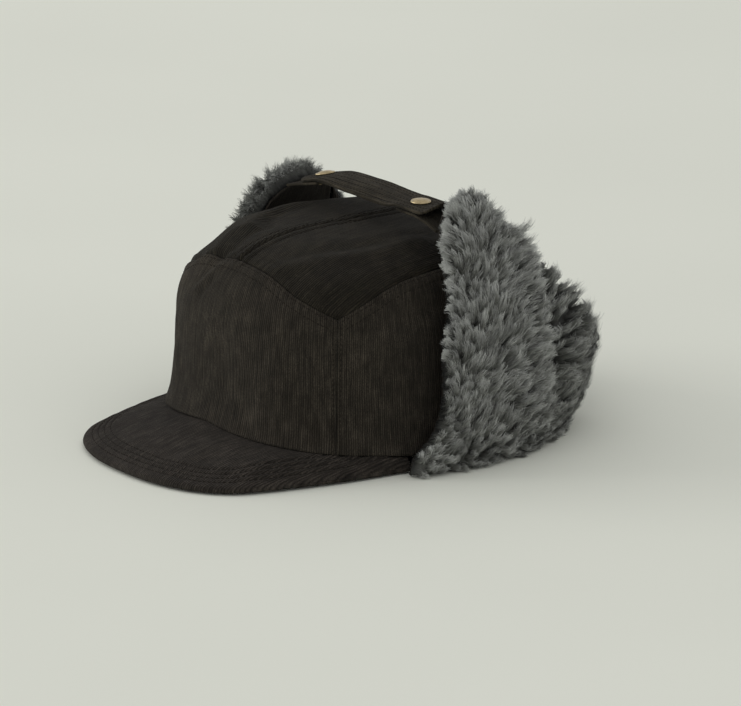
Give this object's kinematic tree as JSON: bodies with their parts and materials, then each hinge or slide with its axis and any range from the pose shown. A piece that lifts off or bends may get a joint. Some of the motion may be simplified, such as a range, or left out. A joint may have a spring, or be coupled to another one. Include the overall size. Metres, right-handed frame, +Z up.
{
  "type": "trapper hat",
  "caption": "Short-brimmed corduroy cap whose pile-faced ear and neck flaps fold up and are held over the crown by a snapped strap.",
  "frame": {"origin": "on the surface the hat stands on, under the middle of the whole hat's box", "axes": "+Z up, the brim points along -Y, the wearer's left is +X"},
  "size_m": [0.239, 0.2992, 0.1465],
  "materials": {
    "corduroy": "fine-wale corduroy, dark brown-black",
    "pile": "long curly grey pile, light and dark fibres mixed",
    "lining_cloth": "smooth dark lining",
    "sweatband_cloth": "dark herringbone tape",
    "binding_cloth": "dark cotton binding",
    "label_cloth": "blank woven label",
    "brim_board": "stiff board",
    "snap_metal": "aged pale brass"
  },
  "bodies": {
    "crown": {"crown_front_panel": "corduroy", "crown_left_side_panel": "corduroy", "crown_right_side_panel": "corduroy", "crown_top_left_panel": "corduroy", "crown_top_right_panel": "corduroy", "lining_side_band": "lining_cloth", "lining_top_piece": "lining_cloth", "sweatband": "sweatband_cloth", "care_label": "label_cloth", "brim_upper_cover": "corduroy", "brim_board": "brim_board", "brim_under_cover": "corduroy", "flap_root_binding": "binding_cloth"},
    "left_ear_flap": {"left_ear_flap_shell": "corduroy", "left_ear_flap_pile": "pile", "left_flap_tab": "corduroy", "left_snap_stud": "snap_metal", "left_snap_post": "snap_metal"},
    "left_corner_flap": {"left_corner_flap_shell": "corduroy", "left_corner_flap_pile": "pile"},
    "neck_flap": {"neck_flap_shell": "corduroy", "neck_flap_pile": "pile"},
    "right_corner_flap": {"right_corner_flap_shell": "corduroy", "right_corner_flap_pile": "pile"},
    "right_ear_flap": {"right_ear_flap_shell": "corduroy", "right_ear_flap_pile": "pile"},
    "strap": {"top_strap": "corduroy", "right_flap_tab": "corduroy", "right_snap_stud": "snap_metal", "right_snap_post": "snap_metal", "right_snap_cap": "snap_metal", "right_snap_socket": "snap_metal", "left_snap_cap": "snap_metal", "left_snap_socket": "snap_metal"}
  },
  "joints": [
    {"name": "left_ear_fold", "type": "hinge", "parent": "crown", "child": "left_ear_flap", "pos_m": [0.09895, 0.01972, 0.0002], "axis": [-0.043, 0.9991, 0], "range_deg": [0, 175]},
    {"name": "left_corner_fold", "type": "hinge", "parent": "crown", "child": "left_corner_flap", "pos_m": [0.07768, 0.08888, 0.0002], "axis": [-0.6181, 0.7861, 0], "range_deg": [0, 175]},
    {"name": "neck_fold", "type": "hinge", "parent": "crown", "child": "neck_flap", "pos_m": [0, 0.11369, 0.0002], "axis": [-1, 0, 0], "range_deg": [0, 175]},
    {"name": "right_corner_fold", "type": "hinge", "parent": "crown", "child": "right_corner_flap", "pos_m": [-0.07768, 0.08888, 0.0002], "axis": [-0.6181, -0.7861, 0], "range_deg": [0, 175]},
    {"name": "right_ear_fold", "type": "hinge", "parent": "crown", "child": "right_ear_flap", "pos_m": [-0.09895, 0.01972, 0.0002], "axis": [-0.043, -0.9991, 0], "range_deg": [0, 175]},
    {"name": "strap_lift", "type": "hinge", "parent": "right_ear_flap", "child": "strap", "pos_m": [-0.0643, 0.02665, 0.1251], "axis": [0, -1, 0], "range_deg": [0, 95]}
  ],
  "couplings": [
    {"joint": "left_corner_fold", "follows": "left_ear_fold", "ratio": 1},
    {"joint": "neck_fold", "follows": "left_ear_fold", "ratio": 1},
    {"joint": "right_corner_fold", "follows": "left_ear_fold", "ratio": 1},
    {"joint": "right_ear_fold", "follows": "left_ear_fold", "ratio": 1}
  ]
}
